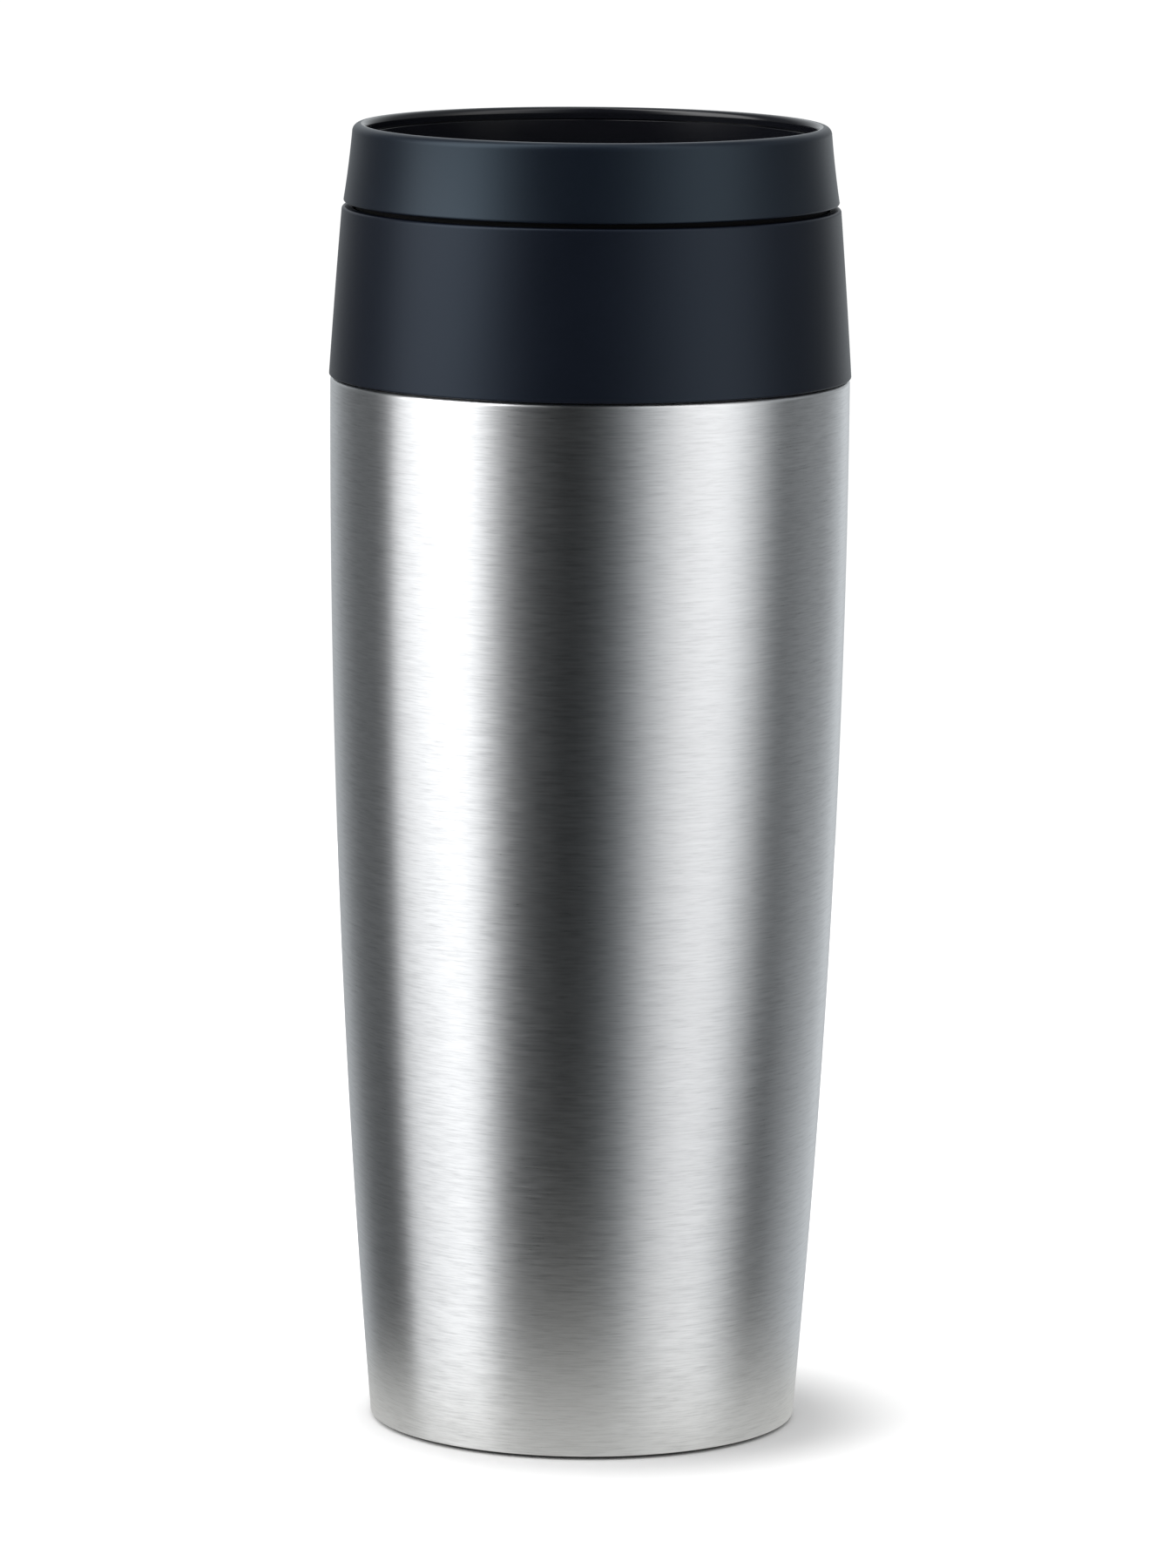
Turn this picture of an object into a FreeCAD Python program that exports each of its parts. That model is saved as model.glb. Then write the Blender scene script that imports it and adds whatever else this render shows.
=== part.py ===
"""Insulated travel mug: a vacuum-walled steel cup with a plastic neck sleeve, and a screw-in lid
whose centre button opens a drinking gap all the way round.

Frame: millimetres, +Z up, the mug's axis on Z, and the origin at the middle of the foot's underside.

The cup is a brushed outer shell and a narrower liner, joined at the lip, with a vacuum between
them. The lid's skirt screws into the liner's neck on a right-hand three-start thread, and a
silicone gasket on the skirt's foot seals it. A spring holds the valve plate up against the lid's
seat. Pressing the button moves button, stem and valve plate down, so that the drink runs up round
the button into the bowl, and an index ring turns in slanted slots as it goes.
"""

import FreeCAD
import Part
import math
import os

V = FreeCAD.Vector
ORIGIN = V(0, 0, 0)
UP = V(0, 0, 1)
FULL_TURN = 360.0
MID_ROUND = 1 - math.sqrt(0.5)  # a round corner's middle lies this share of its radius in from each side

# --- the whole mug ---
TOTAL_HEIGHT = 200.0
BODY_RADIUS = 39.6  # the steel at its widest, just under the sleeve
BODY_ARC_RADIUS = 1895.0  # the long arc that the steel follows from there to the foot
SHELL_BOTTOM_Z = 0.6
SHOULDER_Z = 161.6  # where the steel turns in under the sleeve
NECK_RADIUS = 36.2
LIP_Z = 184.6
STEEL = 0.5  # thickness of every steel wall

# --- liner ---
LINER_FLOOR_Z = 11.0  # the drink's lowest point
LINER_LOW_RADIUS = 25.8  # inside, where the wall meets the floor's fillet
LINER_HIGH_RADIUS = 31.7  # inside, under the sealing land
LINER_FLOOR_FILLET = 8.0
LINER_CONE_Z = 162.3
LAND_RADIUS = 33.45  # the smooth bore that the gasket seals in
LAND_Z = 164.3
THREAD_BORE_Z = 171.4
THREAD_BORE_RADIUS = 34.4

# --- thread, the same in the neck and on the lid ---
THREAD_STARTS = 3
THREAD_PITCH = 4.0
THREAD_LEAD = THREAD_STARTS * THREAD_PITCH
THREAD_DEPTH = 0.9
THREAD_FOOT_WIDTH = 1.5
THREAD_CREST_WIDTH = 0.7
THREAD_HEIGHT = 7.0  # how far each start climbs
THREAD_BURIED = 0.25
THREAD_LOW_Z = 173.0  # middle of the lid's ridge where it starts; the neck's ridges run midway between

# --- sleeve and foot ---
SLEEVE_BOTTOM_Z = 161.8
SLEEVE_TOP_Z = 187.5
SLEEVE_LOW_RADIUS = 39.8
SLEEVE_HIGH_RADIUS = 37.95
GLUE_GAP = 0.1  # also left where the guide's spokes are welded in
FOOT_RADIUS = 31.9
FOOT_THICKNESS = 2.2
BASE_PLATE_Z = 2.3  # underside of the base plate's flat ring
DIMPLE_RADIUS = 6.0
DIMPLE_DEPTH = 1.2

# --- lid shell ---
SKIRT_RADIUS = 33.2
THROAT_RADIUS = 31.4
BOWL_Z = (182.6, 188.4)  # the throat widens to the bowl between these heights
BOWL_RADIUS = 33.8
SEAT_Z = 164.5  # the valve seals against this face from below
SEAT_RADIUS = 27.6
FLANGE_Z = 184.9
FLANGE_RADIUS = 35.8
COLLAR_BOTTOM_Z = 188.2
COLLAR_LOW_RADIUS = 37.7
COLLAR_HIGH_RADIUS = 36.43
RIM_ROUND_OUT = 1.2  # the rim's roundings, on the outside and on the inside
RIM_ROUND_IN = 0.9
RIM_STEP_Z = 198.1  # the lining stops here, under the collar's rim
RIM_RADIUS = 34.2  # inside of the rim
LINING_RADIUS = 34.95  # outside of the lining just under the rim
GASKET_GROOVE = (165.6, 168.2)
GASKET_GROOVE_RADIUS = 32.2

# --- hub, in the middle of the lid ---
HUB_RADIUS = 12.0
HUB_BORE = 9.7
HUB_BOTTOM_Z = 162.0
HUB_FLOOR = (163.2, 164.6)
SEAL_POCKET = 6.1  # radius of the recess for the stem's seal
HUB_TOP_Z = 181.2
SPOKES = 4
SPOKE_WIDTH = 2.4
SPOKE_Z = (168.0, 171.6)
WIPER_Z = (178.6, 179.6)

# --- button, stem and valve ---
BUTTON_TRAVEL = 6.0
BUTTON_RADIUS = 26.5
BUTTON_TOP_Z = 191.0
BUTTON_BOTTOM_Z = 184.5
BUTTON_WALL = 1.5
BUTTON_DISH = 0.9
CARRIER_Z = (187.55, 189.35)
BOSS_BORE = 12.4
BOSS_RADIUS = 14.2
BOSS_BOTTOM_Z = 178.0
SOCKET_RADIUS = 6.0
CLIP_POCKET = 1.4
CLIP_THICKNESS = 0.6
STEM_FLANGE_RADIUS = 5.2
STEM_FLANGE_Z = (178.65, 179.8)
STEM_RADIUS = 3.6
RUNNING_FIT = 0.05
VALVE_RADIUS = 29.2
VALVE_BOTTOM_Z = 158.8
VALVE_TOP_Z = 163.3
VALVE_SOCKET = 1.2  # how far up in the plate the stem starts

# --- index ring and its slots ---
INDEX_RADIUS = 8.0
INDEX_BORE = 6.6
INDEX_WEB = (177.5, 178.6)
INDEX_BOTTOM_Z = 172.4
LUGS = 4
LUG_RADIUS = 9.3
LUG_WIDTH = 14.0  # degrees
LUG_Z = (175.4, 177.4)
INDEX_TURN = 30.0  # degrees over the button's travel
SLOT_LEAD = BUTTON_TRAVEL * FULL_TURN / INDEX_TURN
SLOT_CLEARANCE = 0.3
CAM_SLEEVE_RADII = (8.3, 9.65)
CAM_SLEEVE_Z = (169.6, 180.8)

# --- spring ---
SPRING_WIRE = 0.8
SPRING_RADIUS = 5.4
SPRING_TURNS = 5.0
SPRING_FACETS = 12


def body_radius(z):
    """Outer radius of the steel at height z: one long arc, upright at the shoulder."""
    drop = SHOULDER_Z - z
    return BODY_RADIUS - (BODY_ARC_RADIUS - math.sqrt(BODY_ARC_RADIUS**2 - drop**2))


def liner_radius(z):
    """Inner radius of the liner below the sealing land, curving in towards the floor."""
    share = (LINER_CONE_Z - z) / (LINER_CONE_Z - LINER_FLOOR_Z)
    return LINER_HIGH_RADIUS - (LINER_HIGH_RADIUS - LINER_LOW_RADIUS) * share**1.6


def point(r, z):
    return V(r, 0, z)


def turned(*steps):
    """The closed outline through steps, turned about Z. A step is a point (r, z), or a pair of
    points for an arc through the first of them to the second."""
    edges = []
    here = steps[0]
    for step in steps[1:] + (steps[0],):
        if isinstance(step[0], tuple):
            through, there = step
            edges.append(Part.Arc(point(*here), point(*through), point(*there)).toShape())
        else:
            there = step
            edges.append(Part.LineSegment(point(*here), point(*there)).toShape())
        here = there
    return Part.Face(Part.Wire(edges)).revolve(ORIGIN, UP, FULL_TURN)


def ring(r_in, r_out, z_low, z_high):
    """A plain ring, or a disc where r_in is 0."""
    return turned((r_in, z_low), (r_out, z_low), (r_out, z_high), (r_in, z_high))


def softened(shape, radius, *places):
    """Rounds the circular edges of shape that pass through the given (r, z) places."""
    chosen = []
    for r, z in places:
        for edge in shape.Edges:
            circle = None if edge.Degenerated else edge.Curve
            if not isinstance(circle, Part.Circle):
                continue
            if abs(circle.Radius - r) < 0.02 and abs(circle.Center.z - z) < 0.02:
                chosen.append(edge)
    return shape.makeFillet(radius, chosen)


def screw_swept(corners, lead, climb):
    """The flat outline through corners, carried up by climb on a right-hand screw about Z."""
    radius = max(math.hypot(c.x, c.y) for c in corners)
    path = Part.makeHelix(lead, climb, radius)
    outline = Part.makePolygon(corners + [corners[0]])
    return Part.Wire(path.Edges).makePipeShell([outline], True, True)


def spun(shape, degrees, z=0.0):
    """A copy of shape turned about Z and raised by z."""
    copy = shape.copy()
    copy.rotate(ORIGIN, UP, degrees)
    copy.translate(V(0, 0, z))
    return copy


def around(shape, count, first=0.0):
    return [spun(shape, first + i * FULL_TURN / count) for i in range(count)]


def sector(r_in, r_out, width):
    """Corners of a flat ring sector at height 0, width degrees wide and centred on +X."""
    half = math.radians(width / 2)
    c, s = math.cos(half), math.sin(half)
    inner, outer = (r_in * c, r_in * s), (r_out * c, r_out * s)
    return [V(inner[0], -inner[1]), V(outer[0], -outer[1]), V(*outer), V(*inner)]


def thread_ridges(root, crest, middle_z):
    """Three helical ridges from a wall of radius root to radius crest, their foot in the wall."""
    outwards = math.copysign(1.0, crest - root)
    slope = (THREAD_FOOT_WIDTH - THREAD_CREST_WIDTH) / 2 / THREAD_DEPTH
    bury = root - outwards * THREAD_BURIED
    foot, tip = THREAD_FOOT_WIDTH / 2 + slope * THREAD_BURIED, THREAD_CREST_WIDTH / 2
    corners = [V(bury, 0, -foot), V(bury, 0, foot), V(crest, 0, tip), V(crest, 0, -tip)]
    ridge = screw_swept(corners, THREAD_LEAD, THREAD_HEIGHT)
    return around(spun(ridge, 0.0, middle_z), THREAD_STARTS)


def dome_point(r, edge, middle):
    """The point at radius r on the round cap from edge, an (r, z), to the axis at height middle."""
    edge_r, edge_z = edge
    rise = middle - edge_z
    radius = (edge_r**2 + rise**2) / (2 * abs(rise))
    drop = radius - math.sqrt(radius**2 - r**2)
    return (r, middle - math.copysign(drop, rise))


# --- the cup ---


def outer_shell():
    """Brushed outer wall: long arc, shoulder, straight neck, open at the bottom and under the lip."""
    low, middle = SHELL_BOTTOM_Z, SHOULDER_Z / 2
    outside = turned(
        (0, low),
        (body_radius(low), low),
        ((body_radius(middle), middle), (BODY_RADIUS, SHOULDER_Z)),
        (NECK_RADIUS, SHOULDER_Z),
        (NECK_RADIUS, LIP_Z - STEEL),
        (0, LIP_Z - STEEL),
    )
    outside = softened(outside, 0.6, (BODY_RADIUS, SHOULDER_Z))
    inside = turned(
        (0, low - 1),
        (body_radius(low - 1) - STEEL, low - 1),
        ((body_radius(middle) - STEEL, middle), (BODY_RADIUS - STEEL, SHOULDER_Z - STEEL)),
        (NECK_RADIUS - STEEL, SHOULDER_Z - STEEL),
        (NECK_RADIUS - STEEL, LIP_Z),
        (0, LIP_Z),
    )
    return outside.cut(inside)


def inner_liner():
    """Deep-drawn liner: floor, tapered wall, sealing land, threaded neck, and the closing lip."""

    def profile(grow, top):
        """The liner's inner outline, pushed outwards by grow."""
        floor = LINER_FLOOR_Z - grow
        low, middle = LINER_FLOOR_Z + LINER_FLOOR_FILLET, (LINER_FLOOR_Z + LINER_CONE_Z) / 2
        corner = LINER_FLOOR_FILLET + grow
        wall_low = liner_radius(low) + grow
        turn = corner * MID_ROUND
        return turned(
            (0, floor),
            (wall_low - corner, floor),
            ((wall_low - turn, floor + turn), (wall_low, low)),
            ((liner_radius(middle) + grow, middle), (LINER_HIGH_RADIUS + grow, LINER_CONE_Z)),
            (LAND_RADIUS + grow, LAND_Z),
            (LAND_RADIUS + grow, THREAD_BORE_Z - 1),
            (THREAD_BORE_RADIUS + grow, THREAD_BORE_Z),
            (THREAD_BORE_RADIUS + grow, top),
            (0, top),
        )

    lip = ring(THREAD_BORE_RADIUS, NECK_RADIUS, LIP_Z - STEEL, LIP_Z)
    lip = softened(lip, 0.3, (NECK_RADIUS, LIP_Z), (THREAD_BORE_RADIUS, LIP_Z))
    wall = profile(STEEL, LIP_Z - STEEL / 2).cut(profile(0.0, LIP_Z + 1)).fuse(lip)
    neck_z = THREAD_LOW_Z + THREAD_PITCH / 2
    ridges = thread_ridges(THREAD_BORE_RADIUS, THREAD_BORE_RADIUS - THREAD_DEPTH, neck_z)
    return wall.fuse(ridges).removeSplitter()


def base_plate():
    """Outer bottom: a shallow dish welded inside the shell, with a dimple and evacuation hole."""
    rim = body_radius(BASE_PLATE_Z) - STEEL - 0.05
    top_z = BASE_PLATE_Z + 3.0
    rim_top = body_radius(top_z) - STEEL - 0.05
    step = rim - 3.0
    plate = turned(
        (1.0, BASE_PLATE_Z + 1.0 + DIMPLE_DEPTH),
        (DIMPLE_RADIUS - 1, BASE_PLATE_Z + 1.0 + DIMPLE_DEPTH),
        (DIMPLE_RADIUS, BASE_PLATE_Z + 1.0),
        (step, BASE_PLATE_Z + 1.0),
        (step + 1, BASE_PLATE_Z),
        (rim, BASE_PLATE_Z),
        (rim_top, top_z),
        (rim_top - STEEL, top_z),
        (rim - STEEL, BASE_PLATE_Z + STEEL),
        (step + 1.2, BASE_PLATE_Z + STEEL),
        (step + 0.2, BASE_PLATE_Z + 1.0 + STEEL),
        (DIMPLE_RADIUS + 0.2, BASE_PLATE_Z + 1.0 + STEEL),
        (DIMPLE_RADIUS - 0.8, BASE_PLATE_Z + 1.0 + STEEL + DIMPLE_DEPTH),
        (1.0, BASE_PLATE_Z + 1.0 + STEEL + DIMPLE_DEPTH),
    )
    return plate


def vacuum_plug():
    """Glass bead that closes the evacuation hole, sitting in the dimple."""
    top = BASE_PLATE_Z + 1.0 + DIMPLE_DEPTH
    edge, lowest = (3.0, top), top - 1.0
    return turned(
        (0, lowest),
        (dome_point(1.5, edge, lowest), edge),
        (0.9, top),
        (0.9, top + STEEL),
        (0, top + STEEL),
    )


def getter():
    """Small pressed cup with the getter tablet, on the base plate's vacuum side."""
    low = BASE_PLATE_Z + 1.0 + STEEL
    fill = low + 1.2
    cup = turned((0, low), (4.0, low), (4.4, low + 1.8), (3.9, low + 1.8), (3.6, fill), (0, fill))
    cup.translate(V(15.0, 0, 0))
    return cup


def foot_pad():
    """Non-slip silicone foot, glued into the base plate's recess. It stands proud of the steel."""
    pocket = DIMPLE_RADIUS + 1.0
    step = body_radius(BASE_PLATE_Z) - STEEL - 3.05
    pad = turned(
        (0, 0.5),
        (FOOT_RADIUS - 8.0, 0.5),
        (FOOT_RADIUS - 7.5, 0),
        (FOOT_RADIUS - 5.6, 0),
        (FOOT_RADIUS - 5.4, 0.4),
        (FOOT_RADIUS - 4.6, 0.4),
        (FOOT_RADIUS - 4.4, 0),
        (FOOT_RADIUS, 0),
        (FOOT_RADIUS, FOOT_THICKNESS),
        (step + 0.9, FOOT_THICKNESS),
        (step - 0.1, FOOT_THICKNESS + 1.0),
        (pocket, FOOT_THICKNESS + 1.0),
        (pocket, FOOT_THICKNESS),
        (0, FOOT_THICKNESS),
    )
    return softened(pad, 0.35, (FOOT_RADIUS, 0))


def sleeve():
    """Matt plastic sleeve glued round the steel neck, tapering to the lid."""
    bore = NECK_RADIUS + GLUE_GAP
    middle_r = (SLEEVE_LOW_RADIUS + SLEEVE_HIGH_RADIUS) / 2 + 0.06
    middle_z = (SLEEVE_BOTTOM_Z + SLEEVE_TOP_Z) / 2
    body = turned(
        (bore, SLEEVE_BOTTOM_Z),
        (SLEEVE_LOW_RADIUS, SLEEVE_BOTTOM_Z),
        ((middle_r, middle_z), (SLEEVE_HIGH_RADIUS, SLEEVE_TOP_Z)),
        (bore, SLEEVE_TOP_Z),
    )
    body = softened(body, 0.2, (SLEEVE_LOW_RADIUS, SLEEVE_BOTTOM_Z))
    body = softened(body, 0.45, (SLEEVE_HIGH_RADIUS, SLEEVE_TOP_Z))
    relief_low, relief_high = SLEEVE_BOTTOM_Z + 3, SLEEVE_TOP_Z - 6
    relief = turned(
        (bore - 1, relief_low),
        (bore + 1.3, relief_low),
        (bore, relief_high),
        (bore - 1, relief_high),
    )
    return body.cut(relief)


# --- the lid ---


def lid_body():
    """Gloss inner moulding: bowl, throat, threaded skirt and the seat that the valve closes against."""
    groove_low, groove_high = GASKET_GROOVE
    shell = turned(
        (SEAT_RADIUS, SEAT_Z),
        (SKIRT_RADIUS - 0.5, SEAT_Z),
        (SKIRT_RADIUS - 0.5, groove_low),
        (GASKET_GROOVE_RADIUS, groove_low),
        (GASKET_GROOVE_RADIUS, groove_high),
        (SKIRT_RADIUS, groove_high),
        (SKIRT_RADIUS, FLANGE_Z),
        (FLANGE_RADIUS, FLANGE_Z),
        (FLANGE_RADIUS, COLLAR_BOTTOM_Z - 0.2),
        (LINING_RADIUS, RIM_STEP_Z),
        (RIM_RADIUS, RIM_STEP_Z),
        (BOWL_RADIUS, BOWL_Z[1]),
        ((BOWL_RADIUS - 0.55, (BOWL_Z[0] + BOWL_Z[1]) / 2 + 0.1), (THROAT_RADIUS, BOWL_Z[0])),
        (THROAT_RADIUS, SEAT_Z + 3.4),
        ((THROAT_RADIUS - 0.8, SEAT_Z + 1.9), (THROAT_RADIUS - 2.0, SEAT_Z + 1.3)),
        (SEAT_RADIUS, SEAT_Z + 0.9),
    )
    ridges = thread_ridges(SKIRT_RADIUS, SKIRT_RADIUS + THREAD_DEPTH, THREAD_LOW_Z)
    return shell.fuse(ridges).removeSplitter()


def valve_guide():
    """Hub on four spokes, welded into the throat. It guides button and stem and holds the spring."""
    floor_low, floor_high = HUB_FLOOR
    wiper_low, wiper_high = WIPER_Z
    hub = turned(
        (STEM_RADIUS + 0.2, floor_low),
        (SEAL_POCKET, floor_low),
        (SEAL_POCKET, HUB_BOTTOM_Z),
        (HUB_RADIUS - 0.8, HUB_BOTTOM_Z),
        (HUB_RADIUS, HUB_BOTTOM_Z + 0.8),
        (HUB_RADIUS, wiper_low),
        (HUB_RADIUS - 0.7, wiper_low),
        (HUB_RADIUS - 0.7, wiper_high),
        (HUB_RADIUS, wiper_high),
        (HUB_RADIUS, HUB_TOP_Z),
        (HUB_BORE, HUB_TOP_Z),
        (HUB_BORE, floor_high),
        (STEM_RADIUS + 0.2, floor_high),
    )
    spoke_low, spoke_high = SPOKE_Z
    foot = HUB_RADIUS - 0.4
    reach, height = THROAT_RADIUS - foot, spoke_high - spoke_low
    spoke = Part.makeBox(reach, SPOKE_WIDTH, height, V(foot, -SPOKE_WIDTH / 2, spoke_low))
    long_edges = [e for e in spoke.Edges if abs(e.Length - reach) < 0.01]
    throat = ring(0, THROAT_RADIUS - GLUE_GAP, spoke_low - 1, spoke_high + 1)
    spoke = spoke.makeFillet(0.6, long_edges).common(throat)
    return hub.fuse(around(spoke, SPOKES, FULL_TURN / SPOKES / 2)).removeSplitter()


def lid_collar():
    """Matt outer ring of the lid, clipped over the lining, with the rounded drinking rim."""
    edge_z = TOTAL_HEIGHT - RIM_ROUND_OUT
    middle_z = (COLLAR_BOTTOM_Z + edge_z) / 2
    middle_r = (COLLAR_LOW_RADIUS + COLLAR_HIGH_RADIUS) / 2 - 0.05
    turn_out, turn_in = RIM_ROUND_OUT * MID_ROUND, RIM_ROUND_IN * MID_ROUND
    top_out, top_in = COLLAR_HIGH_RADIUS - RIM_ROUND_OUT, RIM_RADIUS + RIM_ROUND_IN
    collar = turned(
        (FLANGE_RADIUS + 0.05, COLLAR_BOTTOM_Z),
        (COLLAR_LOW_RADIUS, COLLAR_BOTTOM_Z),
        ((middle_r, middle_z), (COLLAR_HIGH_RADIUS, edge_z)),
        ((COLLAR_HIGH_RADIUS - turn_out, TOTAL_HEIGHT - turn_out), (top_out, TOTAL_HEIGHT)),
        (top_in, TOTAL_HEIGHT),
        ((RIM_RADIUS + turn_in, TOTAL_HEIGHT - turn_in), (RIM_RADIUS, TOTAL_HEIGHT - RIM_ROUND_IN)),
        (RIM_RADIUS, RIM_STEP_Z + 0.1),
        (LINING_RADIUS + 0.07, RIM_STEP_Z + 0.1),
    )
    return softened(collar, 0.3, (COLLAR_LOW_RADIUS, COLLAR_BOTTOM_Z))


def lid_gasket():
    """Silicone ring in the skirt's groove, with two lips that meet the liner's land."""
    low, high = GASKET_GROOVE[0] + 0.1, GASKET_GROOVE[1] - 0.1
    back, front = GASKET_GROOVE_RADIUS + 0.05, LAND_RADIUS - 0.05
    waist, middle = front - 0.45, (low + high) / 2
    return turned(
        (back, low),
        (waist, low),
        ((front, low + 0.45), (waist, low + 0.9)),
        (waist, middle + 0.3),
        ((front, high - 0.45), (waist, high)),
        (back, high),
    )


def cam_sleeve():
    """Fixed sleeve pressed into the hub, with four slanted slots that steer the index ring."""
    r_in, r_out = CAM_SLEEVE_RADII
    low, high = CAM_SLEEVE_Z
    body = ring(r_in, r_out, low, high)
    width = LUG_WIDTH + 2 * math.degrees(SLOT_CLEARANCE / INDEX_RADIUS)
    slot_top = LUG_Z[1] + SLOT_CLEARANCE
    climb = slot_top - (low - 1)
    slot = screw_swept(sector(r_in - 0.5, r_out + 0.5, width), SLOT_LEAD, climb)
    turn_at_low = (low - 1 - LUG_Z[0]) * FULL_TURN / SLOT_LEAD
    return body.cut(around(spun(slot, turn_at_low, low - 1), LUGS))


def wiper_seal():
    """Silicone ring round the hub that keeps drink out of the spring's chamber."""
    low, high = WIPER_Z[0] + 0.05, WIPER_Z[1] - 0.05
    front = BOSS_BORE - RUNNING_FIT
    return softened(ring(HUB_RADIUS - 0.65, front, low, high), 0.3, (front, low), (front, high))


def stem_seal():
    """Silicone ring round the stem, in the pocket under the hub's floor."""
    low, high = HUB_BOTTOM_Z + 0.15, HUB_FLOOR[0]
    bore, back = STEM_RADIUS + RUNNING_FIT, SEAL_POCKET - 0.05
    return softened(ring(bore, back, low, high), 0.25, (bore, low), (back, low))


def return_spring():
    """Compression spring between the hub's floor and the index ring's washer."""
    low = HUB_FLOOR[1] + SPRING_WIRE / 2 + 0.05
    high = INDEX_WEB[0] - 0.5 - SPRING_WIRE / 2 - 0.05
    pitch = (high - low) / SPRING_TURNS
    steps = [2 * math.pi * i / SPRING_FACETS for i in range(SPRING_FACETS)]
    half = SPRING_WIRE / 2
    wire = [V(SPRING_RADIUS + half * math.cos(a), 0, half * math.sin(a)) for a in steps]
    return spun(screw_swept(wire, pitch, high - low), 0.0, low)


# --- button, stem and valve ---


def button_cap():
    """Gloss push button with a shallow finger dish and a turned-down rim."""
    edge, under = BUTTON_TOP_Z, CARRIER_Z[1] + 0.05
    dish_edge = BUTTON_RADIUS - 2.6
    cap = turned(
        (0, under),
        (BUTTON_RADIUS - BUTTON_WALL, under),
        (BUTTON_RADIUS - BUTTON_WALL, BUTTON_BOTTOM_Z),
        (BUTTON_RADIUS, BUTTON_BOTTOM_Z),
        (BUTTON_RADIUS, edge),
        (dish_edge, edge),
        (dome_point(dish_edge / 2, (dish_edge, edge), edge - BUTTON_DISH), (0, edge - BUTTON_DISH)),
    )
    cap = softened(cap, 0.8, (BUTTON_RADIUS, edge))
    return softened(cap, 0.4, (BUTTON_RADIUS, BUTTON_BOTTOM_Z))


def button_carrier():
    """Moulding under the cap: plate, guide boss over the hub, and the socket on the stem's flange."""
    low, high = CARRIER_Z
    bore = STEM_RADIUS + RUNNING_FIT
    socket_low = STEM_FLANGE_Z[1] + 0.05
    plate_radius = BUTTON_RADIUS - BUTTON_WALL - 0.1
    return turned(
        (bore, socket_low),
        (SOCKET_RADIUS, socket_low),
        (SOCKET_RADIUS, low),
        (BOSS_BORE, low),
        (BOSS_BORE, BOSS_BOTTOM_Z),
        (BOSS_RADIUS, BOSS_BOTTOM_Z),
        (BOSS_RADIUS, low),
        (plate_radius, low),
        (plate_radius, high),
        (SOCKET_RADIUS, high),
        (SOCKET_RADIUS, high - CLIP_POCKET),
        (bore, high - CLIP_POCKET),
    )


def valve_stem():
    """Stem from the valve plate to the button, with a flange that the spring lifts it by."""
    low = VALVE_BOTTOM_Z + VALVE_SOCKET
    flange_low, flange_high = STEM_FLANGE_Z
    groove_low = CARRIER_Z[1] - CLIP_POCKET
    groove_high = groove_low + CLIP_THICKNESS
    return turned(
        (0, low),
        (STEM_RADIUS, low),
        (STEM_RADIUS, flange_low),
        (STEM_FLANGE_RADIUS, flange_low),
        (STEM_FLANGE_RADIUS, flange_high),
        (STEM_RADIUS, flange_high),
        (STEM_RADIUS, groove_low),
        (STEM_RADIUS - 0.8, groove_low),
        (STEM_RADIUS - 0.8, groove_high),
        (STEM_RADIUS, groove_high),
        (STEM_RADIUS - 0.4, groove_high + 0.5),
        (0, groove_high + 0.5),
    )


def stem_clip():
    """Steel E-clip in the stem's top groove, lying on the carrier."""
    low = CARRIER_Z[1] - CLIP_POCKET + 0.02
    high = low + CLIP_THICKNESS - 0.08
    clip = ring(STEM_RADIUS - 0.75, 5.4, low, high)
    mouth = Part.makeBox(8, 3.6, high - low, V(0, -1.8, low))
    relief = [Part.makeCylinder(0.9, high - low, V(*xy, low)) for xy in ((-2.9, 2.0), (-2.9, -2.0))]
    return clip.cut([mouth] + relief)


def valve_plate():
    """Lower closing plate: a shallow pan whose rim has a groove round it for the seal."""
    pan_z = VALVE_BOTTOM_Z + 2.0
    groove_low, groove_high = VALVE_BOTTOM_Z + 2.8, VALVE_TOP_Z - 0.9
    groove = VALVE_RADIUS - 1.6
    socket, socket_z = STEM_RADIUS + 0.03, VALVE_BOTTOM_Z + VALVE_SOCKET - 0.03
    return turned(
        (0, VALVE_BOTTOM_Z),
        (20.0, VALVE_BOTTOM_Z),
        ((25.4, VALVE_BOTTOM_Z + 0.7), (VALVE_RADIUS, VALVE_BOTTOM_Z + 2.2)),
        (VALVE_RADIUS, groove_low),
        (groove, groove_low),
        (groove, groove_high),
        (VALVE_RADIUS - 1.0, groove_high),
        (VALVE_RADIUS - 1.2, VALVE_TOP_Z),
        (VALVE_RADIUS - 3.8, VALVE_TOP_Z),
        (VALVE_RADIUS - 5.0, pan_z),
        (STEM_RADIUS + 1.8, pan_z),
        (STEM_RADIUS + 1.4, pan_z + 0.6),
        (socket, pan_z + 0.6),
        (socket, socket_z),
        (0, socket_z),
    )


def valve_seal():
    """Silicone ring stretched over the valve plate's rim, with the lip that meets the lid's seat."""
    low, high = VALVE_BOTTOM_Z + 2.85, SEAT_Z - 0.05
    back, lip_in = VALVE_RADIUS - 1.55, VALVE_RADIUS - 0.95
    step = VALVE_TOP_Z - 0.95
    return turned(
        (back, low),
        (VALVE_RADIUS + 0.6, low),
        ((VALVE_RADIUS + 1.1, low + 0.5), (VALVE_RADIUS + 0.9, low + 1.0)),
        (VALVE_RADIUS + 0.6, high),
        (VALVE_RADIUS - 0.2, high),
        (lip_in, VALVE_TOP_Z),
        (lip_in, step),
        (back, step),
    )


def thrust_washer():
    """Thin steel washer between the spring and the index ring, so that the ring turns freely."""
    return ring(STEM_RADIUS + 0.3, INDEX_BORE - 0.3, INDEX_WEB[0] - 0.45, INDEX_WEB[0] - 0.05)


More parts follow.
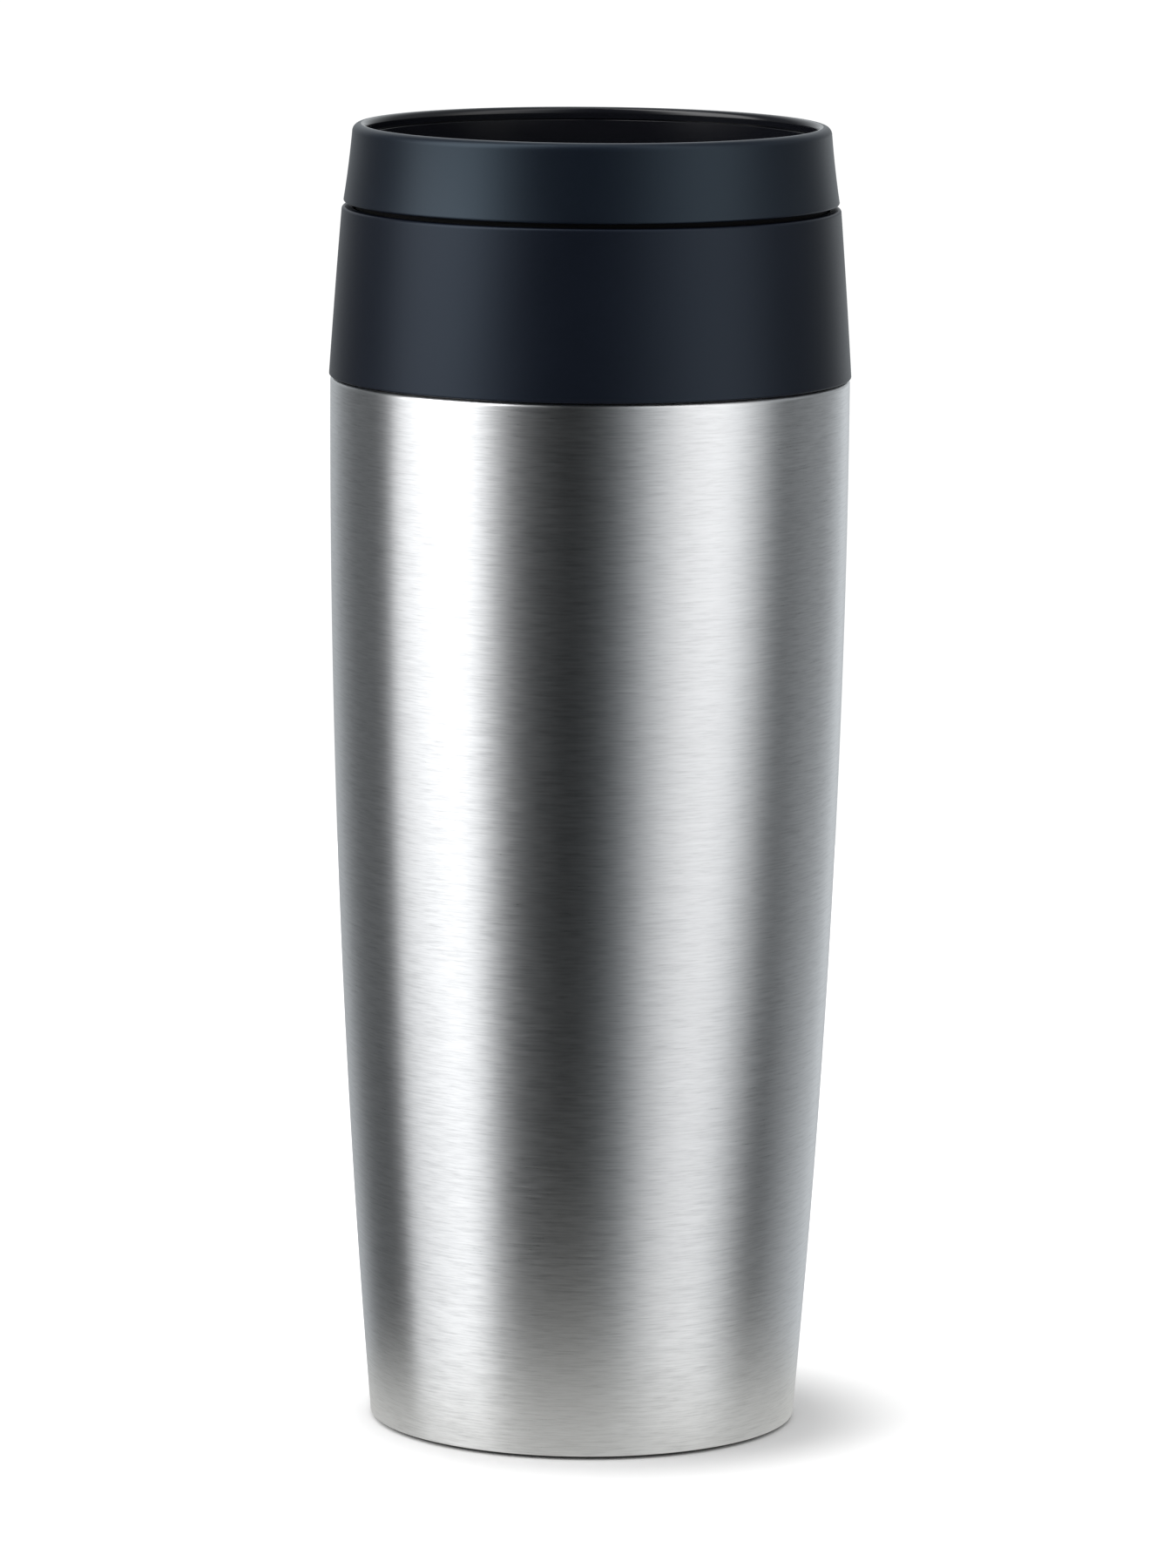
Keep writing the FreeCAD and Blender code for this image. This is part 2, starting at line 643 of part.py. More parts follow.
def index_ring():
    """Turning ring of the press action: a cup over the spring, with four lugs in the slots."""
    web_low, web_high = INDEX_WEB
    cup = turned(
        (STEM_RADIUS + RUNNING_FIT, web_low),
        (INDEX_BORE, web_low),
        (INDEX_BORE, INDEX_BOTTOM_Z),
        (INDEX_RADIUS, INDEX_BOTTOM_Z),
        (INDEX_RADIUS, web_high),
        (STEM_RADIUS + RUNNING_FIT, web_high),
    )
    low, high = LUG_Z
    lug = screw_swept(sector(INDEX_RADIUS - 0.3, LUG_RADIUS, LUG_WIDTH), SLOT_LEAD, high - low)
    return cup.fuse(around(spun(lug, 0.0, low), LUGS)).removeSplitter()


NODES = {
    "outer_shell": outer_shell,
    "inner_liner": inner_liner,
    "base_plate": base_plate,
    "vacuum_plug": vacuum_plug,
    "getter": getter,
    "foot_pad": foot_pad,
    "sleeve": sleeve,
    "lid_gasket": lid_gasket,
    "lid_body": lid_body,
    "valve_guide": valve_guide,
    "lid_collar": lid_collar,
    "cam_sleeve": cam_sleeve,
    "wiper_seal": wiper_seal,
    "stem_seal": stem_seal,
    "return_spring": return_spring,
    "button_cap": button_cap,
    "button_carrier": button_carrier,
    "valve_stem": valve_stem,
    "stem_clip": stem_clip,
    "valve_plate": valve_plate,
    "valve_seal": valve_seal,
    "thrust_washer": thrust_washer,
    "index_ring": index_ring,
}

os.makedirs("parts", exist_ok=True)
for name, make in NODES.items():
    shape = make()
    print(f"{name}: valid {shape.isValid()}, solids {len(shape.Solids)}, {shape.Volume / 1000:.2f} cm3")
    shape.exportStep(f"parts/{name}.step")
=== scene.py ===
import math

import bmesh
import bpy
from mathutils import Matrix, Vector


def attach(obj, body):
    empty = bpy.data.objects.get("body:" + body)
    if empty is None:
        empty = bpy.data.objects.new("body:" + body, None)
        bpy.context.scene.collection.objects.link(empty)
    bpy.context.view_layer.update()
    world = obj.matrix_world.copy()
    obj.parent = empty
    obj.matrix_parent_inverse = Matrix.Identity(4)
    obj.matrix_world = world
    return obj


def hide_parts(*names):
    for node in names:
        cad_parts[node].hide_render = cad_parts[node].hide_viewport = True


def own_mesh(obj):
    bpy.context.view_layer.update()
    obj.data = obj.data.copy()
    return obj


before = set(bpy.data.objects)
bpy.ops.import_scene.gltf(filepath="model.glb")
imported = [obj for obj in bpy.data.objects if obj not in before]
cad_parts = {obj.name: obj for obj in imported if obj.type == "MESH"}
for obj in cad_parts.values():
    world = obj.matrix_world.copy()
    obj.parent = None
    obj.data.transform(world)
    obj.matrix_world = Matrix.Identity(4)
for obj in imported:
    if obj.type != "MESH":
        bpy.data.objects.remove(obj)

# An insulated travel mug: brushed steel cup, matt black neck sleeve and screw lid, and a gloss black
# bowl with a centre button. Outlines are in millimetres, as the CAD parts are, and MM turns them into
# the scene's metres. Camera, floor and light are in metres.
MM = 0.001
SHARP = math.radians(30)
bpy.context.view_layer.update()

# --- outlines ---


def evenly(first, last, count):
    """count + 1 numbers from first to last."""
    return [first + (last - first) * i / count for i in range(count + 1)]


def arc(start, through, end, count):
    """Points after start on the circle from start through a middle point to end, end included."""
    (ax, ay), (bx, by), (cx, cy) = start, through, end
    d = 2 * (ax * (by - cy) + bx * (cy - ay) + cx * (ay - by))
    if abs(d) < 1e-9:
        return [(ax + (cx - ax) * i / count, ay + (cy - ay) * i / count) for i in range(1, count + 1)]
    a2, b2, c2 = ax * ax + ay * ay, bx * bx + by * by, cx * cx + cy * cy
    ox = (a2 * (by - cy) + b2 * (cy - ay) + c2 * (ay - by)) / d
    oy = (a2 * (cx - bx) + b2 * (ax - cx) + c2 * (bx - ax)) / d
    radius = math.hypot(ax - ox, ay - oy)
    first, middle, last = (math.atan2(y - oy, x - ox) for x, y in (start, through, end))
    sweep = (last - first) % (2 * math.pi)
    if (middle - first) % (2 * math.pi) > sweep:
        sweep -= 2 * math.pi
    turns = [first + sweep * i / count for i in range(1, count + 1)]
    return [(ox + radius * math.cos(turn), oy + radius * math.sin(turn)) for turn in turns]


def rounded(corners, count=6):
    """A closed outline from corners (r, z) or (r, z, radius): the third number rounds that corner."""
    points = []
    for i, corner in enumerate(corners):
        here = corner[:2]
        radius = corner[2] if len(corner) > 2 else 0
        if not radius:
            points.append(here)
            continue
        before, after = corners[i - 1][:2], corners[(i + 1) % len(corners)][:2]
        to_before = (before[0] - here[0], before[1] - here[1])
        to_after = (after[0] - here[0], after[1] - here[1])
        len_b, len_a = math.hypot(*to_before), math.hypot(*to_after)
        ub = (to_before[0] / len_b, to_before[1] / len_b)
        ua = (to_after[0] / len_a, to_after[1] / len_a)
        half = math.acos(max(-1, min(1, ub[0] * ua[0] + ub[1] * ua[1]))) / 2
        back = min(radius / math.tan(half), 0.48 * len_b, 0.48 * len_a)
        radius = back * math.tan(half)
        start = (here[0] + ub[0] * back, here[1] + ub[1] * back)
        end = (here[0] + ua[0] * back, here[1] + ua[1] * back)
        mid = (ub[0] + ua[0], ub[1] + ua[1])
        size = math.hypot(*mid)
        centre_far = radius / math.sin(half)
        centre = (here[0] + mid[0] / size * centre_far, here[1] + mid[1] / size * centre_far)
        top = (centre[0] - mid[0] / size * radius, centre[1] - mid[1] / size * radius)
        points.append(start)
        points += arc(start, top, end, count)
    return points


def supported(points, longest=3.0, near=0.12):
    """The same outline with extra points on its long runs, close to their ends and along them, so
    that smooth shading stays flat on the flats."""
    out = []
    for i, a in enumerate(points):
        b = points[(i + 1) % len(points)]
        out.append(a)
        length = math.hypot(b[0] - a[0], b[1] - a[1])
        if length < 4 * near or (a[0] < 1e-6 and b[0] < 1e-6):
            continue
        parts = math.ceil(length / longest)
        stops = [near / length] + [k / parts for k in range(1, parts)] + [1 - near / length]
        out += [(a[0] + (b[0] - a[0]) * t, a[1] + (b[1] - a[1]) * t) for t in stops]
    return out


# --- meshes ---


def new_object(name, bm, body, material):
    """Turns bm into an object that rides on body, smooth except where it folds by more than SHARP."""
    bmesh.ops.remove_doubles(bm, verts=bm.verts, dist=1e-7)
    bmesh.ops.recalc_face_normals(bm, faces=bm.faces)
    mesh = bpy.data.meshes.new(name)
    bm.to_mesh(mesh)
    bm.free()
    mesh.polygons.foreach_set("use_smooth", [True] * len(mesh.polygons))
    mesh.set_sharp_from_angle(angle=SHARP)
    mesh.materials.append(material)
    obj = bpy.data.objects.new(name, mesh)
    bpy.context.scene.collection.objects.link(obj)
    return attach(obj, body)


def turn_into(bm, outline, steps):
    """Adds outline, a closed list of (r, z), turned about Z."""
    columns = []
    poles = {}
    for i in range(steps):
        angle = 2 * math.pi * i / steps
        column = []
        for k, (r, z) in enumerate(outline):
            if r < 1e-6:
                if k not in poles:
                    poles[k] = bm.verts.new((0, 0, z * MM))
                column.append(poles[k])
                continue
            column.append(bm.verts.new((r * math.cos(angle) * MM, r * math.sin(angle) * MM, z * MM)))
        columns.append(column)
    for i in range(steps):
        here, there = columns[i], columns[(i + 1) % steps]
        for k in range(len(outline)):
            n = (k + 1) % len(outline)
            quad = [here[k], there[k], there[n], here[n]]
            corners = [v for j, v in enumerate(quad) if v not in quad[:j]]
            if len(corners) > 2:
                bm.faces.new(corners)


def skin(bm, loops):
    """Joins a row of equal loops of points into a closed tube."""
    for a, b in zip(loops, loops[1:]):
        for k in range(len(a)):
            n = (k + 1) % len(a)
            bm.faces.new([a[k], a[n], b[n], b[k]])
    bm.faces.new(loops[0][::-1])
    bm.faces.new(loops[-1])


def lathe(name, outline, body, material, steps):
    """An object made by turning outline about Z."""
    bm = bmesh.new()
    turn_into(bm, outline, steps)
    return new_object(name, bm, body, material)


def dome(edge_r, edge_z, middle_z, count):
    """Points from just inside (edge_r, edge_z) to the axis at middle_z, on a round cap."""
    rise = middle_z - edge_z
    radius = (edge_r**2 + rise**2) / (2 * abs(rise))
    sign = math.copysign(1, rise)
    out = []
    for i in range(1, count + 1):
        r = edge_r * (1 - i / count)
        out.append((r, middle_z - sign * (radius - math.sqrt(radius**2 - r**2))))
    return out


# --- materials ---


class Look:
    """A Principled material under construction: fixed numbers on the shader's sockets, and
    procedural detail linked in."""

    def __init__(self, name, **values):
        self.material = bpy.data.materials.new(name)
        self.material.use_nodes = True
        self.tree = self.material.node_tree
        self.shader = self.tree.nodes["Principled BSDF"]
        for key, value in values.items():
            self.shader.inputs[key.replace("_", " ")].default_value = value
        self.place = self.node("ShaderNodeTexCoord").outputs["Object"]
        self.bump = None

    def node(self, kind, **settings):
        made = self.tree.nodes.new(kind)
        for key, value in settings.items():
            setattr(made, key, value)
        return made

    def link(self, a, b):
        self.tree.links.new(a, b)

    def noise(self, scale, detail=3.0, roughness=0.55):
        """Noise over the object's own coordinates. scale is features per metre, one number or one
        for each axis."""
        mapping = self.node("ShaderNodeMapping")
        mapping.inputs["Scale"].default_value = scale if isinstance(scale, tuple) else (scale,) * 3
        made = self.node("ShaderNodeTexNoise")
        made.inputs["Scale"].default_value = 1.0
        made.inputs["Detail"].default_value = detail
        made.inputs["Roughness"].default_value = roughness
        self.link(self.place, mapping.inputs["Vector"])
        self.link(mapping.outputs["Vector"], made.inputs["Vector"])
        return made.outputs["Fac"]

    def ramp(self, value, *stops):
        """Maps value through stops of (position, colour)."""
        made = self.node("ShaderNodeValToRGB")
        elements = made.color_ramp.elements
        while len(elements) < len(stops):
            elements.new(0.5)
        for element, (position, colour) in zip(elements, stops):
            element.position = position
            element.color = (*colour, 1)
        self.link(value, made.inputs["Fac"])
        return made.outputs["Color"]

    def mixed(self, a, b, share):
        """Colour a with the given share of b."""
        made = self.node("ShaderNodeMix", data_type="RGBA")
        made.inputs["Factor"].default_value = share
        self.link(a, made.inputs["A"])
        self.link(b, made.inputs["B"])
        return made.outputs["Result"]

    def span(self, value, low, high):
        """Spreads the middle of a noise from low to high."""
        made = self.node("ShaderNodeMapRange")
        made.inputs["From Min"].default_value = 0.3
        made.inputs["From Max"].default_value = 0.7
        made.inputs["To Min"].default_value = low
        made.inputs["To Max"].default_value = high
        self.link(value, made.inputs["Value"])
        return made.outputs["Result"]

    def raise_by(self, value, distance, strength=1.0):
        """Adds a bump of the given height in millimetres on top of those already there."""
        made = self.node("ShaderNodeBump")
        made.inputs["Distance"].default_value = distance * MM
        made.inputs["Strength"].default_value = strength
        self.link(value, made.inputs["Height"])
        if self.bump:
            self.link(self.bump, made.inputs["Normal"])
        self.bump = made.outputs["Normal"]
        self.link(self.bump, self.shader.inputs["Normal"])

    def set(self, socket, value):
        """Links value to one of the shader's sockets."""
        self.link(value, self.shader.inputs[socket])


def scaled(colour, by):
    return tuple(min(1.0, c * by) for c in colour)


def brushed_steel(name, tone, rough, along=240.0, across=4300.0, anisotropic=0.85, strength=0.42):
    """Steel brushed round the axis: short fine scratches over longer, fainter ones, with a slight
    drift of tone."""
    look = Look(name, Metallic=1.0, Anisotropic=anisotropic, Anisotropic_Rotation=0.25)
    round_axis = look.node("ShaderNodeTangent", direction_type="RADIAL", axis="Z")
    look.set("Tangent", round_axis.outputs["Tangent"])
    fine = look.noise((along, along, across), 3.0, 0.7)
    coarse = look.noise((along * 0.22, along * 0.22, across / 3.2), 3.0, 0.6)
    cloud = look.noise(30.0, 2.0)
    high = scaled(tone, 1.12)
    streaks = look.ramp(fine, (0.3, scaled(tone, 0.78)), (0.5, tone), (0.7, high))
    bands = look.ramp(coarse, (0.3, scaled(tone, 0.92)), (0.7, high))
    look.set("Base Color", look.mixed(streaks, bands, 0.3))
    rough_fine = look.span(fine, rough * 0.86, rough * 1.16)
    rough_cloud = look.span(cloud, rough * 0.96, rough * 1.05)
    look.set("Roughness", look.mixed(rough_fine, rough_cloud, 0.4))
    look.raise_by(coarse, 0.003, strength)
    look.raise_by(fine, 0.0022, strength)
    return look.material


def plastic(name, colour, rough, grain, grain_height, IOR=1.48, glint=(1, 1, 1)):
    """Moulded plastic: a fine spark-eroded grain, faint flow clouds and a slight drift of gloss.
    glint tints what it reflects."""
    look = Look(name, IOR=IOR, Specular_Tint=(*glint, 1))
    fine = look.noise(grain, 3.0, 0.6)
    cloud = look.noise(55.0, 3.0)
    stops = (0.3, scaled(colour, 0.86)), (0.7, scaled(colour, 1.16))
    look.set("Base Color", look.mixed(look.ramp(cloud, *stops), look.ramp(fine, *stops), 0.45))
    rough_fine = look.span(fine, rough * 0.9, rough * 1.1)
    rough_cloud = look.span(cloud, rough * 0.93, rough * 1.07)
    look.set("Roughness", look.mixed(rough_fine, rough_cloud, 0.5))
    look.raise_by(fine, grain_height, 0.6)
    return look.material


def silicone(name, colour, rough):
    """Silicone rubber: matt, a little milky at grazing angles, with fine dust in its skin."""
    look = Look(name, IOR=1.41, Sheen_Weight=0.12, Sheen_Roughness=0.5)
    fine = look.noise(1800.0, 4.0, 0.65)
    dust = look.noise(420.0, 5.0, 0.7)
    pale = tuple(min(1.0, c * 1.25 + 0.004) for c in colour)
    look.set("Base Color", look.ramp(dust, (0.35, colour), (0.62, colour), (0.75, pale)))
    look.set("Roughness", look.span(fine, rough * 0.9, rough * 1.08))
    look.raise_by(fine, 0.012, 0.5)
    return look.material


def bright_steel(name, rough):
    """Drawn wire and pressed spring steel."""
    look = Look(name, Metallic=1.0)
    fine = look.noise(900.0, 3.0)
    look.set("Base Color", look.ramp(fine, (0.3, (0.55, 0.55, 0.56)), (0.7, (0.68, 0.68, 0.70))))
    look.set("Roughness", look.span(fine, rough * 0.8, rough * 1.2))
    look.raise_by(fine, 0.003, 0.4)
    return look.material


def grainy(name, colour, rough, metallic, grain):
    """A small hidden part: sintered metal or solder glass."""
    look = Look(name, Metallic=metallic, IOR=1.5)
    fine = look.noise(grain, 5.0, 0.7)
    look.set("Base Color", look.ramp(fine, (0.3, scaled(colour, 0.7)), (0.7, scaled(colour, 1.2))))
    look.set("Roughness", look.span(fine, rough * 0.85, rough * 1.1))
    look.raise_by(fine, 0.03, 0.6)
    return look.material


STEEL = brushed_steel("steel_brushed", (0.80, 0.805, 0.815), 0.30)
SATIN = brushed_steel(
    "steel_satin", (0.70, 0.705, 0.71), 0.34,
    across=2600.0, anisotropic=0.5, strength=0.2,
)
MATT_BLACK = plastic(
    "plastic_matt_black", (0.0022, 0.0036, 0.0085), 0.36, 3800.0, 0.010,
    IOR=1.5, glint=(0.63, 0.83, 1.0),
)
# A shaded copy of the matt black for the sleeve, a little darker and less reflective: painted shade, so
# the sleeve shows dimmer than the collar.
SLEEVE_SHADED_BLACK = plastic(
    "plastic_sleeve_shaded_black", (0.0022, 0.0034, 0.0080), 0.37, 3800.0, 0.010,
    IOR=1.43, glint=(0.66, 0.81, 1.0),
)
# A darker, duller black for the flange behind the seam: painted shade in the gap between collar and
# sleeve.
SEAM_SHADE_BLACK = plastic("plastic_seam_painted_shade", (0.0015, 0.0016, 0.0022), 0.7, 3800.0, 0.010, IOR=1.3)
GLOSS_BLACK = plastic("plastic_gloss_black", (0.006, 0.0065, 0.009), 0.13, 1500.0, 0.0012, IOR=1.5)
DARK_GREY = plastic("plastic_dark_grey", (0.045, 0.047, 0.05), 0.38, 2600.0, 0.008)
NATURAL = plastic("plastic_natural", (0.62, 0.60, 0.55), 0.42, 2200.0, 0.006)
BLACK_RUBBER = silicone("silicone_black", (0.016, 0.0165, 0.018), 0.62)
GREY_RUBBER = silicone("silicone_grey", (0.30, 0.31, 0.32), 0.5)
SPRING = bright_steel("steel_spring", 0.22)
GLASS_BEAD = grainy("glass_bead", (0.16, 0.18, 0.17), 0.3, 0.0, 1400.0)
GETTER = grainy("getter_metal", (0.42, 0.41, 0.40), 0.6, 0.7, 3000.0)

# --- dimensions shared with the CAD ---
TOP = 200.0
BODY_R, ARC_R, SHOULDER = 39.6, 1895.0, 161.6
NECK_R, LIP, WALL = 36.2, 184.6, 0.5
FLOOR, LOW_R, HIGH_R, FLOOR_FILLET, CONE = 11.0, 25.8, 31.7, 8.0, 162.3
LAND_R, LAND, BORE, BORE_R = 33.45, 164.3, 171.4, 34.4
LEAD, STARTS, DEPTH, FOOT_W, CREST_W = 12.0, 3, 0.9, 1.5, 0.7
CLIMB, LID_THREAD, NECK_THREAD = 7.0, 173.0, 175.0
SKIRT_R, THROAT_R, SEAT, SEAT_R = 33.2, 31.4, 164.5, 27.6


def body_radius(z):
    """The cup's outside, an arc that is widest at the shoulder."""
    return BODY_R - (ARC_R - math.sqrt(ARC_R**2 - (SHOULDER - z) ** 2))


def liner_radius(z):
    """The cup's inside, narrower towards the floor."""
    return HIGH_R - (HIGH_R - LOW_R) * ((CONE - z) / (CONE - FLOOR)) ** 1.6


def add_thread(bm, wall_r, first, outwards):
    """The thread's three ridges, swept up their screw from height first. Their foot lies in a wall
    of radius wall_r, and their ends sink into it."""
    sunk, steps = 0.2, 140
    foot, crest = FOOT_W / 2 + 0.09, CREST_W / 2
    section = rounded([(-sunk, -foot), (DEPTH, -crest, 0.15), (DEPTH, crest, 0.15), (-sunk, foot)], 4)
    for start in range(STARTS):
        loops = []
        for i in range(steps + 1):
            turn = CLIMB / LEAD * i / steps
            angle = 2 * math.pi * (turn + start / STARTS)
            fade = min(1.0, 40 * turn, 40 * (CLIMB / LEAD - turn))
            fade = 0.1 + 0.9 * fade * fade * (3 - 2 * fade)
            loop = []
            for out, up in section:
                r = wall_r + outwards * ((out + sunk) * fade - sunk)
                z = first + LEAD * turn + up
                loop.append(bm.verts.new((r * math.cos(angle) * MM, r * math.sin(angle) * MM, z * MM)))
            loops.append(loop)
        skin(bm, loops)


# --- the cup ---

long_arc = [(body_radius(z), z) for z in evenly(0.9, SHOULDER - 0.6, 40)]
shell_outline = (
    [(body_radius(0.6) - 0.1, 0.6), (body_radius(0.66) - 0.03, 0.64), (body_radius(0.75), 0.75)]
    + long_arc
    + arc(long_arc[-1], (BODY_R - 0.176, SHOULDER - 0.176), (BODY_R - 0.6, SHOULDER), 6)
    + [(NECK_R + 0.15, SHOULDER), (NECK_R, SHOULDER + 0.15), (NECK_R, LIP - WALL)]
    + [(NECK_R - WALL, LIP - WALL), (NECK_R - WALL, SHOULDER - WALL), (BODY_R - 1.0, SHOULDER - WALL)]
    + [(body_radius(z) - WALL, z) for z in evenly(SHOULDER - 1.0, 0.9, 30)]
    + [(body_radius(0.6) - WALL + 0.05, 0.6)]
)
shell = lathe("body_shell", supported(shell_outline, 6.0), "cup", STEEL, 384)
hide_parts("outer_shell")


def liner_wall(grow):
    """The liner from the axis at the floor up to the bore, pushed outwards by grow."""
    low = FLOOR + FLOOR_FILLET
    corner = FLOOR_FILLET + grow
    centre = liner_radius(low) + grow - corner
    points = [(0.0, FLOOR - grow), (centre * 0.5, FLOOR - grow)]
    fillet = evenly(0.0, math.pi / 2, 14)
    points += [(centre + corner * math.sin(a), low - corner * math.cos(a)) for a in fillet]
    points += [(liner_radius(z) + grow, z) for z in evenly(low, CONE, 24)[1:]]
    points += [(LAND_R + grow, LAND), (LAND_R + grow, BORE - 1), (BORE_R + grow, BORE)]
    return points + [(BORE_R + grow, z) for z in (BORE + 0.3, (BORE + LIP) / 2, LIP - WALL - 0.2)]


inner, outer = liner_wall(0.0), liner_wall(WALL)
lip_outline = (
    arc((BORE_R, LIP - 0.45), (BORE_R + 0.13, LIP - 0.13), (BORE_R + 0.45, LIP), 5)
    + [(NECK_R - 0.45, LIP)]
    + arc((NECK_R - 0.45, LIP), (NECK_R - 0.13, LIP - 0.13), (NECK_R, LIP - 0.45), 5)
    + [(NECK_R, LIP - WALL), (BORE_R + WALL, LIP - WALL)]
)
liner_mesh = bmesh.new()
turn_into(liner_mesh, inner + lip_outline + outer[::-1], 240)
add_thread(liner_mesh, BORE_R, NECK_THREAD, -1)
liner = new_object("liner_wall", liner_mesh, "cup", SATIN)
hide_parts("inner_liner")

plate_z, dimple = 2.3, 1.2
rim_low, rim_high = body_radius(plate_z) - WALL - 0.05, body_radius(plate_z + 3) - WALL - 0.05
step = rim_low - 3
base = lathe(
    "base_disc",
    supported(
        rounded(
            [
                (1.0, plate_z + 1 + dimple),
                (5.0, plate_z + 1 + dimple, 0.6),
                (6.0, plate_z + 1, 0.6),
                (step, plate_z + 1, 0.6),
                (step + 1, plate_z, 0.6),
                (rim_low, plate_z, 0.3),
                (rim_high, plate_z + 3),
                (rim_high - WALL, plate_z + 3),
                (rim_low - WALL, plate_z + WALL, 0.2),
                (step + 1.2, plate_z + WALL, 0.6),
                (step + 0.2, plate_z + 1 + WALL, 0.6),
                (6.2, plate_z + 1 + WALL, 0.6),
                (5.2, plate_z + 1 + WALL + dimple, 0.6),
                (1.0, plate_z + 1 + WALL + dimple),
            ]
        )
    ),
    "cup",
    SATIN,
    192,
)
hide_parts("base_plate")

foot_r, foot_z = 31.9, 2.2
foot = lathe(
    "foot_ring",
    supported(
        rounded(
            [
                (0, 0.5),
                (foot_r - 8.0, 0.5, 0.2),
                (foot_r - 7.5, 0, 0.2),
                (foot_r - 5.6, 0, 0.1),
                (foot_r - 5.4, 0.4, 0.1),
                (foot_r - 4.6, 0.4, 0.1),
                (foot_r - 4.4, 0, 0.1),
                (foot_r, 0, 0.4),
                (foot_r, foot_z, 0.2),
                (step + 0.9, foot_z, 0.2),
                (step - 0.15, foot_z + 1, 0.2),
                (7.0, foot_z + 1, 0.2),
                (7.0, foot_z, 0.2),
                (0, foot_z),
            ]
        )
    ),
    "cup",
    BLACK_RUBBER,
    256,
)
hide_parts("foot_pad")

sleeve_bore, sleeve_low, sleeve_high = NECK_R + 0.1, 161.8, 187.5
sleeve_foot, sleeve_head = (39.8, sleeve_low + 0.22), (37.99, sleeve_high - 0.45)
sleeve_outline = (
    [(sleeve_bore, sleeve_low), (39.58, sleeve_low)]
    + arc((39.58, sleeve_low), (39.74, sleeve_low + 0.07), sleeve_foot, 4)
    + arc(sleeve_foot, (38.935, 174.6), sleeve_head, 26)
    + arc(sleeve_head, (37.84, sleeve_high - 0.12), (37.5, sleeve_high), 6)
    + [(sleeve_bore + 0.3, sleeve_high), (sleeve_bore, sleeve_high - 0.3)]
    + [(sleeve_bore, sleeve_high - 6), (sleeve_bore + 1.3, sleeve_low + 3.0)]
    + [(sleeve_bore, sleeve_low + 3.0)]
)
# The sleeve wears the shaded copy of the matt black: painted shade.
sleeve = lathe("neck_sleeve", supported(sleeve_outline), "cup", SLEEVE_SHADED_BLACK, 384)
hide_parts("sleeve")

# --- the lid ---

rim_in, rim_step, edge_z = 34.2, 198.1, 198.8
collar_low, collar_high, collar_z = 37.7, 36.43, 188.2
collar_foot = (collar_low - 0.005, collar_z + 0.3)
collar_outline = (
    [(35.85, collar_z + 0.15), (36.0, collar_z), (collar_low - 0.3, collar_z)]
    + arc((collar_low - 0.3, collar_z), (collar_low - 0.088, collar_z + 0.088), collar_foot, 5)
    + arc(collar_foot, ((collar_low + collar_high) / 2 - 0.06, 193.4), (collar_high, edge_z), 18)
    + arc((collar_high, edge_z), (collar_high - 0.351, TOP - 0.351), (collar_high - 1.2, TOP), 10)
    + [(rim_in + 0.9, TOP)]
    + arc((rim_in + 0.9, TOP), (rim_in + 0.264, TOP - 0.264), (rim_in, TOP - 0.9), 9)
    + [(rim_in, rim_step + 0.18), (rim_in + 0.08, rim_step + 0.1), (35.02, rim_step + 0.1)]
)
collar = lathe("lid_rim", supported(collar_outline), "lid", MATT_BLACK, 384)
# The rim is polished where it turns in to the bowl.
collar.data.materials.append(GLOSS_BLACK)
for face in collar.data.polygons:
    if math.hypot(face.center.x, face.center.y) < (rim_in + 0.9) * MM and face.center.z > rim_step * MM:
        face.material_index = 1
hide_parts("lid_collar")

lining = bmesh.new()
groove_low, groove_high, groove_r = 165.6, 168.2, 32.2
flange_r, flange_low, flange_high = 35.8, 184.9, 188.0
# The bowl's wall ends in a hollow curve down to the throat, and the throat in one to the seat.
bowl_foot, throat_foot = (33.8, 188.4), (THROAT_R, SEAT + 3.4)
lining_outline = (
    rounded([(SEAT_R, SEAT, 0.15), (SKIRT_R - 0.5, SEAT, 0.3), (SKIRT_R - 0.5, groove_low)], 3)[:-1]
    + [(SKIRT_R - 0.5, groove_low), (groove_r, groove_low), (groove_r, groove_high)]
    + [(SKIRT_R, groove_high), (SKIRT_R, flange_low), (flange_r, flange_low), (flange_r, flange_high)]
    + [(34.95, rim_step), (rim_in + 0.12, rim_step), (rim_in, rim_step - 0.12)]
    + [(34.1, 195.6), (33.97, 192.5), bowl_foot]
    + arc(bowl_foot, (33.25, 185.6), (THROAT_R, 182.6), 12)
    + [throat_foot]
    + arc(throat_foot, (THROAT_R - 0.8, SEAT + 1.9), (THROAT_R - 2.0, SEAT + 1.3), 8)
    + [(SEAT_R + 0.2, SEAT + 0.93), (SEAT_R, SEAT + 0.75)]
)
turn_into(lining, supported(lining_outline, 2.0), 288)
add_thread(lining, SKIRT_R, LID_THREAD, 1)
lid = new_object("lid_lining", lining, "lid", GLOSS_BLACK)
# The flange behind the seam is rough, and its black is darker and duller than the lining's: painted
# shade, so the seam between collar and sleeve stays dark.
lid.data.materials.append(SEAM_SHADE_BLACK)
for face in lid.data.polygons:
    x, y, z = face.center
    if math.hypot(x, y) > (flange_r - 0.8) * MM and z < (flange_high + 0.6) * MM:
        face.material_index = 1
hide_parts("lid_body")

